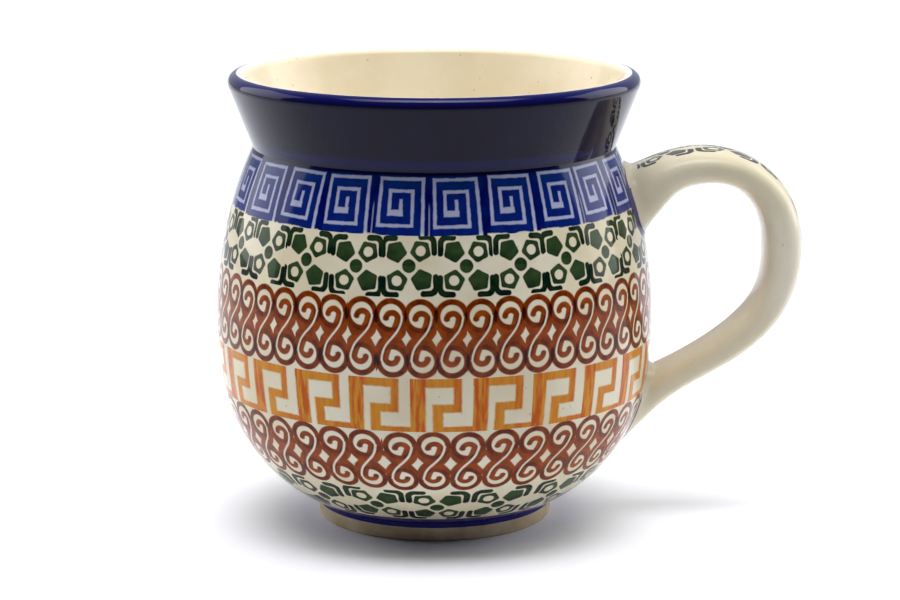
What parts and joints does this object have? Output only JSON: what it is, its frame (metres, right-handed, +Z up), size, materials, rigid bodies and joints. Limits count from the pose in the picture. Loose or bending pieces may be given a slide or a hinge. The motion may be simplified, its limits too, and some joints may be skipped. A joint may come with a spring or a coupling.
{
  "type": "mug",
  "caption": "Round-bellied stoneware drinking mug with a flared cobalt collar, a strap handle, a low foot ring and bands of stamped folk decoration under clear glaze.",
  "frame": {"origin": "on the mug's axis, in the plane of the foot ring's resting face", "axes": "+Z up along the mug's axis, +X towards the handle, +Y to the left of the handle seen from above with the handle pointing away"},
  "size_m": [0.1239, 0.0924, 0.095],
  "materials": {
    "bare_stoneware": "matt, bare fired clay",
    "handle_stoneware": "fired clay under glaze",
    "joining_slip": "fired slip",
    "clear_glaze": "glossy clear glaze over cream clay",
    "decorated_glaze": "glossy clear glaze over stamped blue, green, brown and orange bands",
    "cobalt_glaze": "glossy deep blue"
  },
  "bodies": {
    "root": {"stoneware_body": "bare_stoneware", "handle": "handle_stoneware", "upper_slip_joint": "joining_slip", "lower_slip_joint": "joining_slip", "inner_glaze": "clear_glaze", "outer_glaze": "decorated_glaze", "collar_glaze": "cobalt_glaze", "handle_glaze": "clear_glaze", "underside_glaze": "clear_glaze"}
  },
  "joints": []
}
